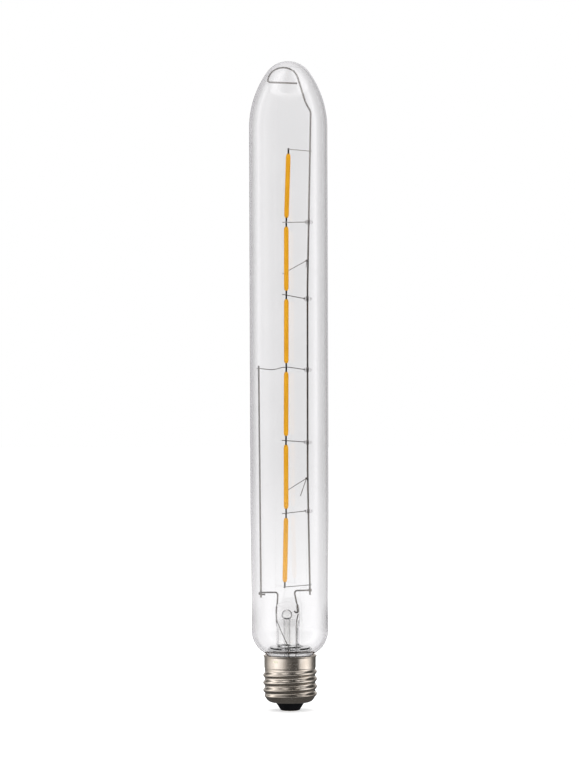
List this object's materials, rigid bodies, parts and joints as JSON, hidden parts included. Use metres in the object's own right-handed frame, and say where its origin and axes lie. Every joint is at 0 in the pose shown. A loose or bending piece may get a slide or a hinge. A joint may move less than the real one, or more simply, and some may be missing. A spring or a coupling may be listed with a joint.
{
  "type": "light bulb",
  "caption": "Long clear tubular light bulb with straight amber filaments strung between support wires, on a metal screw cap.",
  "frame": {"origin": "on the bulb's axis, at the underside of the centre contact", "axes": "+Z along the bulb's axis from the cap to the dome, +X to the right in the picture, +Y away from its camera"},
  "size_m": [0.038, 0.038, 0.315],
  "materials": {
    "clear_glass": "smooth clear",
    "stem_glass": "smooth clear",
    "bead_glass": "smooth clear",
    "nickel_shell": "bright rolled nickel",
    "black_glass": "gloss",
    "contact_brass": "satin",
    "solder": "satin",
    "cement": "matt",
    "nickel_wire": "satin",
    "seal_wire": "satin",
    "phosphor": "satin silicone",
    "circuit_board": "satin",
    "component_black": "matt",
    "capacitor_sleeve": "gloss",
    "ferrite": "matt",
    "copper_winding": "enamelled",
    "resistor_body": "painted",
    "hookup_wire": "tinned"
  },
  "bodies": {
    "root": {"basing_cement": "cement", "bridge_rectifier": "component_black", "cap_insulator": "black_glass", "cap_shell": "nickel_shell", "centre_contact": "contact_brass", "choke_core": "ferrite", "choke_winding": "copper_winding", "collar_solder": "solder", "contact_solder": "solder", "contact_wire": "hookup_wire", "cross_wire_1": "nickel_wire", "cross_wire_2": "nickel_wire", "cross_wire_3": "nickel_wire", "cross_wire_4": "nickel_wire", "cross_wire_5": "nickel_wire", "cross_wire_bottom": "nickel_wire", "cross_wire_top": "nickel_wire", "driver_board": "circuit_board", "driver_chip": "component_black", "exhaust_tube": "stem_glass", "filament_1": "phosphor", "filament_1_lower_terminal": "nickel_wire", "filament_1_upper_terminal": "nickel_wire", "filament_2": "phosphor", "filament_2_lower_terminal": "nickel_wire", "filament_2_upper_terminal": "nickel_wire", "filament_3": "phosphor", "filament_3_lower_terminal": "nickel_wire", "filament_3_upper_terminal": "nickel_wire", "filament_4": "phosphor", "filament_4_lower_terminal": "nickel_wire", "filament_4_upper_terminal": "nickel_wire", "filament_5": "phosphor", "filament_5_lower_terminal": "nickel_wire", "filament_5_upper_terminal": "nickel_wire", "filament_6": "phosphor", "filament_6_lower_terminal": "nickel_wire", "filament_6_upper_terminal": "nickel_wire", "fusible_resistor": "resistor_body", "glass_bead_1": "bead_glass", "glass_bead_2": "bead_glass", "glass_bead_3": "bead_glass", "glass_bead_4": "bead_glass", "glass_bead_5": "bead_glass", "glass_envelope": "clear_glass", "lead_wire_left": "nickel_wire", "lead_wire_right": "nickel_wire", "return_wire": "hookup_wire", "seal_wire_left": "seal_wire", "seal_wire_right": "seal_wire", "smoothing_capacitor": "capacitor_sleeve", "stem_glass": "stem_glass", "support_spring_1": "nickel_wire", "support_spring_2": "nickel_wire", "support_wire_left": "nickel_wire", "support_wire_right": "nickel_wire"}
  },
  "joints": []
}
